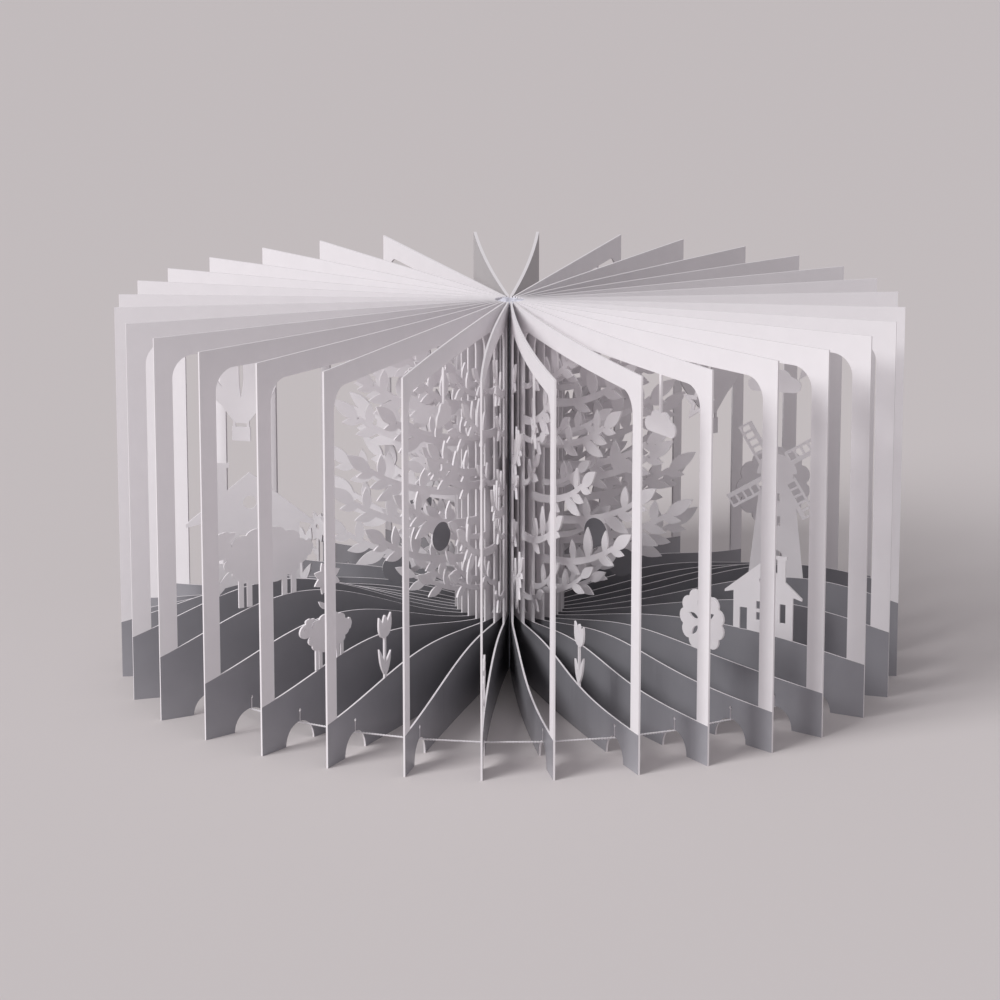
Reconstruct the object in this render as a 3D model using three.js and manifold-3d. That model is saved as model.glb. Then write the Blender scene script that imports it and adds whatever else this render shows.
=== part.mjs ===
// A pop-up carousel book, standing upright and opened right round.
// Thirty die-cut page leaves and two cover boards stand out from one glued spine like the spokes of a wheel.
// Each page leaf is a stiff white card with a window: a tree grows along the spine, hills fill the foot of
// the window, and small figures stand on the hills or hang from the top bar.
// A thread runs under an arch in the foot of each page leaf and keeps the leaves at their spacing.
// Millimetres, +Z up, origin at the foot of the spine, the covers at the back (+Y).

import * as THREE from "three";
import { mergeVertices } from "three/addons/utils/BufferGeometryUtils.js";
import Module from "manifold-3d";

const wasm = await Module();
wasm.setup();

// Book
const leafHeight = 104;
const foreEdgeRadius = 108;
const leafThickness = 0.5;
const coverThickness = 0.9;
const boundThickness = 0.5;
const clearance = 0.3;

// Fan, in degrees seen from above, 0 towards the reader and positive to the reader's right
const pageAngles = [
  -159.8, -148.8, -138, -126.6, -115.6, -104.8, -93.6, -83.4, -71, -59.6, -47.8, -36.6, -25.8, -14.5, -3.9,
  5.9, 17.7, 28.1, 39.1, 49.5, 61.2, 72.4, 83.6, 95.6, 106.6, 117.6, 128.8, 140, 151.4, 162,
];
const frontCoverAngle = -174.6;
const backCoverAngle = 175.4;

// Bow of the leaves, strongest on the leaves just right of the front; the covers bow away from each other
const strongestBow = 2;
const bowAngle = 12;
const bowSpread = 28;
const coverBow = 1;
const straightBow = 0.7;
const foldSpan = 55;

// Window and bars of a page leaf
const topBar = 5.4;
const outerBar = 5.2;
const windowCorner = 6;
const bindingBar = 5;
const slotWidth = 3.2;
const trunkWidth = 3;
const slotCount = 2;
const slotBridge = 7;
const archRadius = 5.8;
const archFromForeEdge = 15.5;

// Spacer thread
const threadRadius = 0.25;
const knotRadius = 1;

// Hills: heights above the table, places in plan from the spine
const meadowHeight = 10.5;
const hills = [
  { angle: -66, radius: 66, height: 20, spread: 42 },
  { angle: 88, radius: 78, height: 17, spread: 44 },
  { angle: 178, radius: 60, height: 14, spread: 46 },
  { angle: 38, radius: 40, height: 4.5, spread: 26 },
];
const hillSteps = 4;
const cornerSegments = 2;
const weldDistance = 0.06;
const sameCorner = 1e-4;

// Tree
const crownFoot = 30;
const crownTop = 88;
const branchCount = 2;
const branchReach = 30;
const branchRise = 9;
const branchWidth = 2.4;
const branchTip = 1.3;
const leafletLength = 9;
const leafletWidth = 3.6;
const leafletTurn = 1;
const fruitDiameter = 8;
const fruitEvery = 4;

// Figures
const stalkWidth = 1;
const overlap = 1;
const starSize = 11;
const cloudWidth = 15;
const tulipHeight = 17;
const daisyHeight = 15;
const smallFromForeEdge = 24;
const smallShift = 9;
const hangDrop = 9;
const bigFigures = [
  { leaf: 6, draw: balloon, fromForeEdge: 30, size: 30 },
  { leaf: 8, draw: cottage, fromForeEdge: 36, size: 34 },
  { leaf: 10, draw: sheep, fromForeEdge: 32, size: 30 },
  { leaf: 12, draw: sheep, fromForeEdge: 28, size: 20 },
  { leaf: 19, draw: roundTree, fromForeEdge: 27, size: 26 },
  { leaf: 21, draw: cottage, fromForeEdge: 30, size: 22 },
  { leaf: 23, draw: windmill, fromForeEdge: 34, size: 46 },
  { leaf: 25, draw: roundTree, fromForeEdge: 30, size: 34 },
  { leaf: 27, draw: balloon, fromForeEdge: 34, size: 34 },
];

// Worked out from the sizes above
const pageCount = pageAngles.length;
const leafCount = pageCount + 2;
const boundPitch = boundThickness + clearance;
const boundRadius = (boundPitch * leafCount) / (2 * Math.PI);
const leafLength = foreEdgeRadius - boundRadius;
const trunkEdge = bindingBar + slotWidth + trunkWidth;
const windowTop = leafHeight - topBar;
const windowOuter = leafLength - outerBar;
const archAt = leafLength - archFromForeEdge;

const paper = new THREE.MeshStandardMaterial({ color: 0xe3dfe2, roughness: 0.85, metalness: 0 });
const board = new THREE.MeshStandardMaterial({ color: 0xc9c4c5, roughness: 0.85, metalness: 0 });
const glue = new THREE.MeshStandardMaterial({ color: 0xcfd0de, roughness: 0.5, metalness: 0 });
const cotton = new THREE.MeshStandardMaterial({ color: 0xeceaec, roughness: 0.9, metalness: 0 });

const radians = THREE.MathUtils.degToRad;

// Unit vector in plan that points out from the spine at this fan angle.
function outward(angle) {
  return new THREE.Vector2(Math.sin(radians(angle)), -Math.cos(radians(angle)));
}

// Angle at which leaf i is held in the glue, where all leaves are evenly spaced.
function boundAngle(i) {
  return -180 + ((i + 0.5) * 360) / leafCount;
}

function pageBow(angle) {
  const offset = (angle - bowAngle) / bowSpread;
  return strongestBow * Math.exp(-offset * offset);
}

// The line that a leaf follows in plan: a chord from the glue to the fore edge, bowed most at its middle.
function leafLine(i, angle, bow, thickness) {
  const root = outward(boundAngle(i)).multiplyScalar(boundRadius);
  const chord = outward(angle).multiplyScalar(foreEdgeRadius).sub(root);
  const across = new THREE.Vector2(chord.y, -chord.x).normalize();
  return { root, chord, across, bow, thickness };
}

function pageLine(i) {
  const angle = pageAngles[i - 1];
  return leafLine(i, angle, pageBow(angle), leafThickness);
}

// Point of a leaf at x along it, y up and w across it from its middle, in the book's own frame.
function onLeaf(line, x, y, w) {
  const share = x / leafLength;
  const offset = 4 * line.bow * share * (1 - share);
  const slope = (4 * line.bow * (1 - 2 * share)) / leafLength;
  const along = line.chord.clone().normalize();
  const normal = line.across.clone().addScaledVector(along, -slope).normalize();
  const radius = boundRadius + x;
  const squeezed = Math.min(1, ((2 * Math.PI * radius) / leafCount - clearance) / line.thickness);
  const plan = line.root
    .clone()
    .addScaledVector(line.chord, share)
    .addScaledVector(line.across, offset)
    .addScaledVector(normal, w * squeezed);
  return new THREE.Vector3(plan.x, plan.y, y);
}

// Height of the ground at x along a leaf.
function groundAt(line, x) {
  const place = onLeaf(line, x, 0, 0);
  let height = meadowHeight;
  for (const hill of hills) {
    const top = outward(hill.angle).multiplyScalar(hill.radius);
    const away = Math.hypot(place.x - top.x, place.y - top.y) / hill.spread;
    height += hill.height * Math.exp(-away * away);
  }
  return height;
}

function polygon(points) {
  return new THREE.Shape(points.map(([x, y]) => new THREE.Vector2(x, y)));
}

function disc(x, y, radius, sides, turn = 0) {
  const points = [];
  for (let k = 0; k < sides; k++) {
    const a = turn + (2 * Math.PI * k) / sides;
    points.push([x + radius * Math.cos(a), y + radius * Math.sin(a)]);
  }
  return polygon(points);
}

function bar(x, y0, y1, width) {
  return polygon([
    [x - width / 2, y0],
    [x + width / 2, y0],
    [x + width / 2, y1],
    [x - width / 2, y1],
  ]);
}

// The widest points and the tip of a pointed oval that grows from a point towards an angle in radians.
function leaflet(from, turn) {
  const along = new THREE.Vector2(Math.cos(turn), Math.sin(turn));
  const side = new THREE.Vector2(-along.y, along.x).multiplyScalar(leafletWidth / 2);
  const middle = from.clone().addScaledVector(along, leafletLength * 0.45);
  const tip = from.clone().addScaledVector(along, leafletLength);
  return [middle.clone().sub(side), tip, middle.clone().add(side)];
}

// Figures that stand: (x, y) is the foot, size the height. Figures that hang: (x, y) is the top of the stalk.

function tulip(x, y, size) {
  const cup = size * 0.36;
  const half = size * 0.2;
  const lip = y + size;
  return [
    bar(x, y - overlap, lip - cup / 2, stalkWidth),
    polygon([
      [x, lip - cup],
      [x + half, lip - cup * 0.6],
      [x + half, lip],
      [x, lip - cup * 0.35],
      [x - half, lip],
      [x - half, lip - cup * 0.6],
    ]),
  ];
}

function daisy(x, y, size) {
  const head = size * 0.3;
  return [bar(x, y - overlap, y + size - head, stalkWidth), disc(x, y + size - head, head, 8)];
}

function star(x, y, size) {
  const centre = y - hangDrop - size / 2;
  const points = [];
  for (let k = 0; k < 10; k++) {
    const a = Math.PI / 2 + (Math.PI * k) / 5;
    const r = k % 2 ? size * 0.22 : size * 0.5;
    points.push([x + r * Math.cos(a), centre + r * Math.sin(a)]);
  }
  return [bar(x, centre, y + overlap, stalkWidth), polygon(points)];
}

function cloud(x, y, size) {
  const base = y - hangDrop - size * 0.45;
  const half = size / 2;
  return [
    bar(x, base + size * 0.2, y + overlap, stalkWidth),
    polygon([
      [x - half * 0.8, base],
      [x + half * 0.8, base],
      [x + half, base + size * 0.1],
      [x + half * 0.7, base + size * 0.26],
      [x + half * 0.3, base + size * 0.42],
      [x - half * 0.25, base + size * 0.4],
      [x - half * 0.6, base + size * 0.26],
      [x - half, base + size * 0.12],
    ]),
  ];
}

function balloon(x, y, size) {
  const radius = size * 0.36;
  const centre = y - hangDrop - radius;
  const basket = size * 0.09;
  const foot = centre + radius - size;
  return [
    bar(x, centre, y + overlap, stalkWidth),
    disc(x, centre, radius, 8, Math.PI / 8),
    polygon([
      [x - basket, foot],
      [x + basket, foot],
      [x + radius * 0.75, centre - radius * 0.5],
      [x - radius * 0.75, centre - radius * 0.5],
    ]),
  ];
}

function roundTree(x, y, size) {
  const crown = size * 0.33;
  return [
    bar(x, y - overlap, y + size - crown, size * 0.1),
    disc(x, y + size - crown, crown, 8),
  ];
}

function sheep(x, y, size) {
  const body = y + size * 0.42;
  const long = size * 0.42;
  const deep = size * 0.25;
  const wool = [];
  for (let k = 0; k < 8; k++) {
    const a = (Math.PI * (k + 0.5)) / 4;
    wool.push([x + long * Math.cos(a), body + deep * Math.sin(a)]);
  }
  const head = x + long;
  return [
    polygon(wool),
    polygon([
      [head - size * 0.06, body + deep * 0.9],
      [head - size * 0.02, body - deep * 0.1],
      [head + size * 0.16, body],
      [head + size * 0.1, body + deep * 0.9],
    ]),
    bar(x - long * 0.55, y - overlap, body, size * 0.08),
    bar(x + long * 0.5, y - overlap, body, size * 0.08),
  ];
}

function cottage(x, y, size) {
  const wall = size * 0.4;
  const eaves = y + size * 0.5;
  const ridge = y + size * 0.92;
  const chimney = x + wall * 0.6;
  const house = polygon([
    [x - wall, y - 3 * overlap],
    [x + wall, y - 3 * overlap],
    [x + wall, eaves],
    [x + wall * 1.3, eaves],
    [x, ridge],
    [x - wall * 1.3, eaves],
    [x - wall, eaves],
  ]);
  house.holes.push(bar(x, y + size * 0.16, y + size * 0.4, size * 0.2));
  return [house, bar(chimney, eaves, y + size, size * 0.11)];
}

function windmill(x, y, size) {
  const hub = y + size * 0.66;
  const sail = size * 0.34;
  const tower = polygon([
    [x - size * 0.17, y - 2 * overlap],
    [x + size * 0.17, y - 2 * overlap],
    [x + size * 0.09, hub],
    [x, hub + size * 0.12],
    [x - size * 0.09, hub],
  ]);
  const sails = [0, 1, 2, 3].map((k) => {
    const a = radians(30 + 90 * k);
    const along = new THREE.Vector2(Math.cos(a), Math.sin(a));
    const side = new THREE.Vector2(-along.y, along.x).multiplyScalar(size * 0.035);
    const middle = new THREE.Vector2(x, hub);
    return new THREE.Shape([
      middle.clone().sub(side),
      middle.clone().addScaledVector(along, sail).addScaledVector(side, -2),
      middle.clone().addScaledVector(along, sail).addScaledVector(side, 2),
      middle.clone().add(side),
    ]);
  });
  return [tower, ...sails];
}

// A curved branch from the trunk with a leaflet at its tip, one at its side and, on some, a round fruit.
function branch(y, reach, rise, sideTurn, bearsFruit) {
  const start = new THREE.Vector2(trunkEdge - overlap, y);
  const bend = new THREE.Vector2(trunkEdge + reach * 0.6, y + rise * 0.1);
  const end = new THREE.Vector2(trunkEdge + reach, y + rise);
  const curve = new THREE.QuadraticBezierCurve(start, bend, end);
  const steps = 2;
  const lower = [];
  const upper = [];
  for (let k = 0; k <= steps; k++) {
    const at = curve.getPoint(k / steps);
    const along = curve.getTangent(k / steps);
    const half = THREE.MathUtils.lerp(branchWidth, branchTip, k / steps) / 2;
    const side = new THREE.Vector2(-along.y, along.x).multiplyScalar(half);
    lower.push(at.clone().sub(side));
    upper.unshift(at.clone().add(side));
  }
  const tip = curve.getTangent(1).angle();
  const inner = curve.getPoint(0.6);
  const shapes = [
    new THREE.Shape([...lower, ...leaflet(end, tip), ...upper]),
    new THREE.Shape([inner, ...leaflet(inner, tip + sideTurn)]),
  ];
  if (bearsFruit) {
    const hold = curve.getPoint(0.5);
    shapes.push(disc(hold.x, hold.y - fruitDiameter / 2, fruitDiameter / 2, 8, Math.PI / 8));
  }
  return shapes;
}

// The tree's branches on page leaf i, at heights that step from leaf to leaf so that the crown fills up.
function treeOn(i) {
  const shapes = [];
  const step = (crownTop - crownFoot) / branchCount;
  for (let k = 0; k < branchCount; k++) {
    const shift = ((i * 3 + k) % 8) / 8;
    const y = crownFoot + step * (k + shift);
    const high = (y - crownFoot) / (crownTop - crownFoot);
    const reach = branchReach * (1 - 0.35 * high * high);
    const rise = Math.min(branchRise, windowTop - y - leafletLength / 2);
    const sideTurn = (i + k) % 2 ? leafletTurn : -leafletTurn;
    const bearsFruit = k === 0 && i % fruitEvery === 0;
    shapes.push(...branch(y, reach, rise, sideTurn, bearsFruit));
  }
  return shapes;
}

// The figures on page leaf i: the big ones by name, and a small one in turn on every other leaf.
function figuresOn(i, line) {
  const big = bigFigures.find((figure) => figure.leaf === i);
  if (big) {
    const x = leafLength - big.fromForeEdge;
    const foot = big.draw === balloon ? windowTop : groundAt(line, x);
    return big.draw(x, foot, big.size);
  }
  const x = leafLength - smallFromForeEdge - smallShift * (i % 3);
  if (i % 4 === 0) return star(x, windowTop, starSize);
  if (i % 4 === 2) return cloud(x, windowTop, cloudWidth);
  if (i % 4 === 1) return tulip(x, groundAt(line, x), tulipHeight);
  return daisy(x, groundAt(line, x), daisyHeight);
}

// The slots between the binding bar and the trunk.
function slots() {
  const low = meadowHeight + slotBridge;
  const length = (windowTop - low - slotBridge * (slotCount - 1)) / slotCount;
  const middle = bindingBar + slotWidth / 2;
  const list = [];
  for (let k = 0; k < slotCount; k++) {
    const y0 = low + k * (length + slotBridge);
    list.push(bar(middle, y0, y0 + length, slotWidth));
  }
  return list;
}

// The window: the hills below, a rounded corner at each end of the top bar.
function windowHole(line) {
  const hole = new THREE.Shape();
  hole.moveTo(trunkEdge, groundAt(line, trunkEdge));
  for (let k = 1; k <= hillSteps; k++) {
    const x = THREE.MathUtils.lerp(trunkEdge, windowOuter, k / hillSteps);
    hole.lineTo(x, groundAt(line, x));
  }
  const corner = windowTop - windowCorner;
  hole.lineTo(windowOuter, corner);
  hole.absarc(windowOuter - windowCorner, corner, windowCorner, 0, Math.PI / 2, false);
  hole.absarc(trunkEdge + windowCorner, corner, windowCorner, Math.PI / 2, Math.PI, false);
  return hole;
}

function plate(line) {
  const outline = new THREE.Shape();
  outline.moveTo(0, 0);
  outline.lineTo(archAt - archRadius, 0);
  outline.absarc(archAt, 0, archRadius, Math.PI, Math.PI / 2, true);
  outline.absarc(archAt, 0, archRadius, Math.PI / 2, 0, true);
  outline.lineTo(leafLength, 0);
  outline.lineTo(leafLength, leafHeight);
  outline.lineTo(0, leafHeight);
  outline.holes.push(windowHole(line), ...slots());
  return outline;
}

// Flat card cut to a shape, centred on w = 0.
function card(shape, thickness) {
  const settings = { depth: thickness, bevelEnabled: false, curveSegments: cornerSegments };
  return new THREE.ExtrudeGeometry(shape, settings).translate(0, 0, -thickness / 2);
}

function solid(geometry) {
  const bare = geometry.clone();
  bare.deleteAttribute("normal");
  bare.deleteAttribute("uv");
  const merged = mergeVertices(bare, sameCorner);
  return new wasm.Manifold(
    new wasm.Mesh({
      numProp: 3,
      vertProperties: merged.attributes.position.array,
      triVerts: new Uint32Array(merged.index.array),
    }),
  );
}

function joined(geometries) {
  let whole = solid(geometries[0]);
  for (const geometry of geometries.slice(1)) {
    whole = whole.add(solid(geometry));
  }
  return whole.asOriginal().getMesh();
}

// The triangles of a flat card, as lists of three [x, y, w] corners. Corners that a cut has left
// almost in one place become one, and the slivers between them go.
function trianglesOf(mesh) {
  const places = [];
  const corner = (k) => {
    const [x, y, w] = mesh.vertProperties.slice(3 * k, 3 * k + 3);
    let place = places.find((p) => Math.hypot(p[0] - x, p[1] - y) < weldDistance);
    if (!place) {
      place = [x, y];
      places.push(place);
    }
    return [...place, w];
  };
  const same = (a, b) => a.every((value, n) => value === b[n]);
  const triangles = [];
  for (let k = 0; k < mesh.triVerts.length; k += 3) {
    const [a, b, c] = [0, 1, 2].map((n) => corner(mesh.triVerts[k + n]));
    if (!same(a, b) && !same(b, c) && !same(c, a)) triangles.push([a, b, c]);
  }
  return triangles;
}

// Halves every edge that runs further along the leaf than foldSpan, so that long bars can follow the bow.
// Both neighbours of an edge halve it in the same point.
function halved(triangle) {
  const ring = [];
  let first = -1;
  for (let k = 0; k < 3; k++) {
    const a = triangle[k];
    const b = triangle[(k + 1) % 3];
    ring.push(a);
    if (Math.abs(a[0] - b[0]) > foldSpan) {
      if (first < 0) first = ring.length;
      ring.push(a.map((value, n) => (value + b[n]) / 2));
    }
  }
  if (first < 0) return [triangle];
  const turned = [...ring.slice(first), ...ring.slice(0, first)];
  const fan = turned.slice(2).map((point, k) => [turned[0], turned[k + 1], point]);
  return fan.flatMap(halved);
}

// A card bent along its leaf's line. A folded one has its long edges halved first.
function bent(line, mesh, folded) {
  const flat = trianglesOf(mesh);
  const places = [];
  for (const triangle of folded ? flat.flatMap(halved) : flat) {
    for (const [x, y, w] of triangle) {
      places.push(...onLeaf(line, x, y, w).toArray());
    }
  }
  const geometry = new THREE.BufferGeometry();
  geometry.setAttribute("position", new THREE.Float32BufferAttribute(places, 3));
  geometry.computeVertexNormals();
  return geometry;
}

function named(name, geometry, material) {
  const mesh = new THREE.Mesh(geometry, material);
  mesh.name = name;
  return mesh;
}

function pageLeaf(i) {
  const line = pageLine(i);
  const pieces = [card(plate(line), leafThickness)];
  for (const shape of [...treeOn(i), ...figuresOn(i, line)]) {
    pieces.push(card(shape, leafThickness));
  }
  const name = `page_leaf_${String(i).padStart(2, "0")}`;
  return named(name, bent(line, joined(pieces), line.bow > straightBow), paper);
}

function cover(name, i, angle, bow) {
  const line = leafLine(i, angle, bow, coverThickness);
  const outline = polygon([
    [0, 0],
    [leafLength, 0],
    [leafLength, leafHeight],
    [0, leafHeight],
  ]);
  return named(name, bent(line, joined([card(outline, coverThickness)]), true), board);
}

function spineGlue() {
  const geometry = new THREE.CylinderGeometry(boundRadius - clearance, boundRadius - clearance, leafHeight, 16);
  geometry.rotateX(Math.PI / 2).translate(0, 0, leafHeight / 2);
  return named("spine_glue", geometry, glue);
}

// The thread passes under every arch and ends in a knot outside the first and the last page leaf.
function spacerThread() {
  const height = archRadius - clearance - threadRadius;
  const pass = (i, w) => onLeaf(pageLine(i), archAt, height, w);
  const knotAway = leafThickness / 2 + clearance + knotRadius;
  const points = [pass(1, knotAway)];
  for (let i = 1; i <= pageCount; i++) {
    points.push(pass(i, 0));
  }
  points.push(pass(pageCount, -knotAway));
  const path = new THREE.CatmullRomCurve3(points, false, "centripetal");
  const section = disc(0, 0, threadRadius, 4);
  const run = new THREE.ExtrudeGeometry(section, { steps: points.length, extrudePath: path });
  const pieces = [run];
  for (const end of [points[0], points[points.length - 1]]) {
    pieces.push(new THREE.SphereGeometry(knotRadius, 6, 4).translate(end.x, end.y, end.z));
  }
  const mesh = joined(pieces);
  const geometry = new THREE.BufferGeometry();
  geometry.setAttribute("position", new THREE.Float32BufferAttribute(mesh.vertProperties, 3));
  geometry.setIndex(new THREE.BufferAttribute(mesh.triVerts, 1));
  geometry.computeVertexNormals();
  return named("spacer_thread", geometry, cotton);
}

const book = new THREE.Group();
book.add(spineGlue());
book.add(cover("front_cover", 0, frontCoverAngle, -coverBow));
for (let i = 1; i <= pageCount; i++) {
  book.add(pageLeaf(i));
}
book.add(cover("back_cover", leafCount - 1, backCoverAngle, coverBow));
book.add(spacerThread());

export default book;
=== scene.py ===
"""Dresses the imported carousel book: cut, printed and bent card leaves, cover boards, glue and thread."""

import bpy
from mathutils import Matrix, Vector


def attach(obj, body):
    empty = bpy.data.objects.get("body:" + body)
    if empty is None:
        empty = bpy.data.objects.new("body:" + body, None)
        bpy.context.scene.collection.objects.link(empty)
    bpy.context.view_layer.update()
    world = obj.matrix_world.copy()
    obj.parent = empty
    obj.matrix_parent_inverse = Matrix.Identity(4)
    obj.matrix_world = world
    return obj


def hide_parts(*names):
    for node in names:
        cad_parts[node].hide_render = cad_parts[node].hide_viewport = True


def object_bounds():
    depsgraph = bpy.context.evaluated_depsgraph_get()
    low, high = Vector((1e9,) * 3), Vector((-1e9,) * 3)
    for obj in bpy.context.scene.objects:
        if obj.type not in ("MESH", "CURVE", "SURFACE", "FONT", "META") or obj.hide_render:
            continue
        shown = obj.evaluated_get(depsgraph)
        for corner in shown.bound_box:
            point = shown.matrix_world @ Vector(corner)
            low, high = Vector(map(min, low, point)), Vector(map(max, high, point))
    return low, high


bl_info = {
    "name": "Carousel Book",
    "version": (1, 0, 0),
    "blender": (4, 5, 0),
    "location": "View3D > Sidebar > Carousel Book",
    "description": "Builds a pop-up carousel book, opened right round, from its sizes",
    "category": "Object",
}

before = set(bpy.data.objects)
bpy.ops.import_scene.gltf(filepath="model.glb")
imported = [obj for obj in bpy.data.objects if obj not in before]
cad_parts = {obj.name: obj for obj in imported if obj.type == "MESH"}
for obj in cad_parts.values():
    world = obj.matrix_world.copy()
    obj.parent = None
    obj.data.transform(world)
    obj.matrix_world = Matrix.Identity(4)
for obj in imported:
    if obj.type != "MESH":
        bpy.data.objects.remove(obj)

import math
import random

import bpy
from bpy.props import FloatProperty, FloatVectorProperty, PointerProperty
from bpy.types import Operator, Panel, PropertyGroup
from mathutils import Vector
from mathutils.geometry import delaunay_2d_cdt

CAD_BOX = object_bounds()
MM = 0.001


def linear(hex_colour):
    """An sRGB hex value as linear red, green, blue and alpha."""
    channels = [int(hex_colour[k : k + 2], 16) / 255 for k in (1, 3, 5)]
    return tuple(c / 12.92 if c <= 0.04045 else ((c + 0.055) / 1.055) ** 2.4 for c in channels) + (1.0,)


def colour(name, description, hex_colour):
    look = dict(subtype="COLOR", size=4, min=0, max=1, default=linear(hex_colour))
    return FloatVectorProperty(name=name, description=description, **look)


def length(name, description, millimetres):
    return FloatProperty(name=name, description=description, unit="LENGTH", default=millimetres * MM)


def angle(name, description, degrees):
    return FloatProperty(name=name, description=description, subtype="ANGLE", default=math.radians(degrees))


class BookSizes(PropertyGroup):
    """Sizes of the book's card, window and fan."""

    leaf_height: FloatProperty(
        name="Leaf height", description="Height of every leaf", unit="LENGTH", default=CAD_BOX[1][2]
    )
    fore_edge: length("Fore edge", "Spine axis to the outer edge of a leaf", 108)
    thickness: length("Card", "Thickness of a page leaf", 0.5)
    cover_thickness: length("Board", "Thickness of a cover board", 0.9)
    bound_thickness: length("Bound card", "Most thickness that the glue leaves at the root", 0.5)
    clearance: length("Clearance", "Gap between leaves in the glue", 0.3)
    top_bar: length("Top bar", "Card left above the window", 5.4)
    outer_bar: length("Outer bar", "Card left outside the window", 5.2)
    corner: length("Window corner", "Radius of the window's upper corners", 6)
    binding_bar: length("Binding bar", "Card left along the glue", 5)
    slot_width: length("Slot", "Width of the slots beside the trunk", 3.2)
    slot_bridge: length("Slot bridge", "Card between two slots", 7)
    trunk: length("Trunk", "Width of the tree's trunk", 3)
    arch_radius: length("Arch", "Radius of the notch in a leaf's foot", 5.8)
    arch_inset: length("Arch inset", "Fore edge to the middle of the arch", 15.5)
    front_cover: angle("Front cover", "Fan angle of the front cover, from the reader", -174.6)
    back_cover: angle("Back cover", "Fan angle of the back cover, from the reader", 175.4)
    bow: length("Bow", "Strongest bow of a page leaf", 2)
    bow_angle: angle("Bow angle", "Fan angle of the strongest bow", 12)
    bow_spread: angle("Bow spread", "How quickly the bow fades round the fan", 28)
    cover_bow: length("Cover bow", "Bow of a cover board", 1)
    meadow: length("Meadow", "Lowest height of the hills", 10.5)


class BookColours(PropertyGroup):
    """Colours of the card, print, glue and thread."""

    card: colour("Card", "Bare white card", "#e9e5e8")
    print_grey: colour("Print", "Grey print below the hill line", "#848388")
    board: colour("Cover face", "Face of a cover board", "#b9b5b6")
    glue: colour("Glue", "Set glue in the spine", "#d8d8e4")
    thread: colour("Thread", "Spacer thread", "#efecef")
    floor: colour("Floor", "Floor and backdrop", "#d4cece")


def sizes():
    return bpy.context.scene.book_sizes


def colours():
    return bpy.context.scene.book_colours


# Plan of the fan, in millimetres


class Plan:
    """The book's sizes in millimetres and the lines that its leaves follow in plan."""

    def __init__(self, book):
        for name in (
            "leaf_height fore_edge thickness cover_thickness bound_thickness clearance top_bar outer_bar "
            "corner binding_bar slot_width slot_bridge trunk arch_radius arch_inset bow cover_bow meadow"
        ).split():
            setattr(self, name, getattr(book, name) / MM)
        self.book = book
        self.pages = len(PAGE_ANGLES)
        self.leaves = self.pages + 2
        self.bound_radius = (self.bound_thickness + self.clearance) * self.leaves / math.tau
        self.leaf_length = self.fore_edge - self.bound_radius
        self.trunk_edge = self.binding_bar + self.slot_width + self.trunk
        self.window_top = self.leaf_height - self.top_bar
        self.window_outer = self.leaf_length - self.outer_bar
        self.arch_at = self.leaf_length - self.arch_inset

    def page_bow(self, turn):
        offset = (turn - self.book.bow_angle) / self.book.bow_spread
        return self.bow * math.exp(-offset * offset)

    def line(self, i, turn, bow):
        """Root, fore edge and bow of leaf i."""
        bound = -math.pi + (i + 0.5) * math.tau / self.leaves
        return outward(bound) * self.bound_radius, outward(turn) * self.fore_edge, bow

    def page_line(self, i):
        turn = math.radians(PAGE_ANGLES[i - 1])
        return self.line(i, turn, self.page_bow(turn))

    def on_leaf(self, line, x, y, w):
        """Point at x along a leaf, y up and w across it from its middle."""
        root, fore, bow = line
        chord = fore - root
        along = chord.normalized()
        across = along.cross(Vector((0, 0, 1)))
        share = x / self.leaf_length
        slope = 4 * bow * (1 - 2 * share) / self.leaf_length
        normal = (across - along * slope).normalized()
        offset = 4 * bow * share * (1 - share)
        return root + chord * share + across * offset + normal * w + Vector((0, 0, y))

    def ground(self, line, x):
        """Height of the hills at x along a leaf."""
        place = self.on_leaf(line, x, 0, 0)
        height = self.meadow
        for turn, radius, rise, spread in HILLS:
            away = (place - outward(math.radians(turn)) * radius).length / spread
            height += rise * math.exp(-away * away)
        return height


# Fan angle of each page leaf in degrees, 0 towards the reader and positive to the reader's right
PAGE_ANGLES = [
    *(-159.8, -148.8, -138, -126.6, -115.6, -104.8, -93.6, -83.4, -71, -59.6),
    *(-47.8, -36.6, -25.8, -14.5, -3.9, 5.9, 17.7, 28.1, 39.1, 49.5),
    *(61.2, 72.4, 83.6, 95.6, 106.6, 117.6, 128.8, 140, 151.4, 162),
]

# Fan angle in degrees, distance from the spine, height and spread of each hill in millimetres
HILLS = [(-66, 66, 20, 42), (88, 78, 17, 44), (178, 60, 14, 46), (38, 40, 4.5, 26)]


def outward(turn):
    return Vector((math.sin(turn), -math.cos(turn), 0))


# Outlines of the cut shapes: lists of points, each with what it does to the card.
# "card" adds card, "cut" takes it away, and "print" colours what it covers. Later outlines win.


def ring(x, y, across, up=None, count=28, turn=0.0):
    up = across if up is None else up
    steps = [turn + math.tau * k / count for k in range(count)]
    return [(x + across * math.cos(a), y + up * math.sin(a)) for a in steps]


def arc(x, y, radius, start, end, count=10):
    steps = [math.radians(start + (end - start) * k / count) for k in range(count + 1)]
    return [(x + radius * math.cos(a), y + radius * math.sin(a)) for a in steps]


def strip(x, low, high, width):
    half = width / 2
    return [(x - half, low), (x + half, low), (x + half, high), (x - half, high)]


def slot(x, low, high, width):
    """A round-ended upright slot."""
    half = width / 2
    return arc(x, low + half, half, 180, 360) + arc(x, high - half, half, 0, 180)


# A petal's outline: how far its widest part lies towards its root, its roundness, and its stalk
PETAL_LEAN, PETAL_ROUND, STALK_HALF, STALK_SHARE = 0.85, 0.9, 0.22, 0.3


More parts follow.
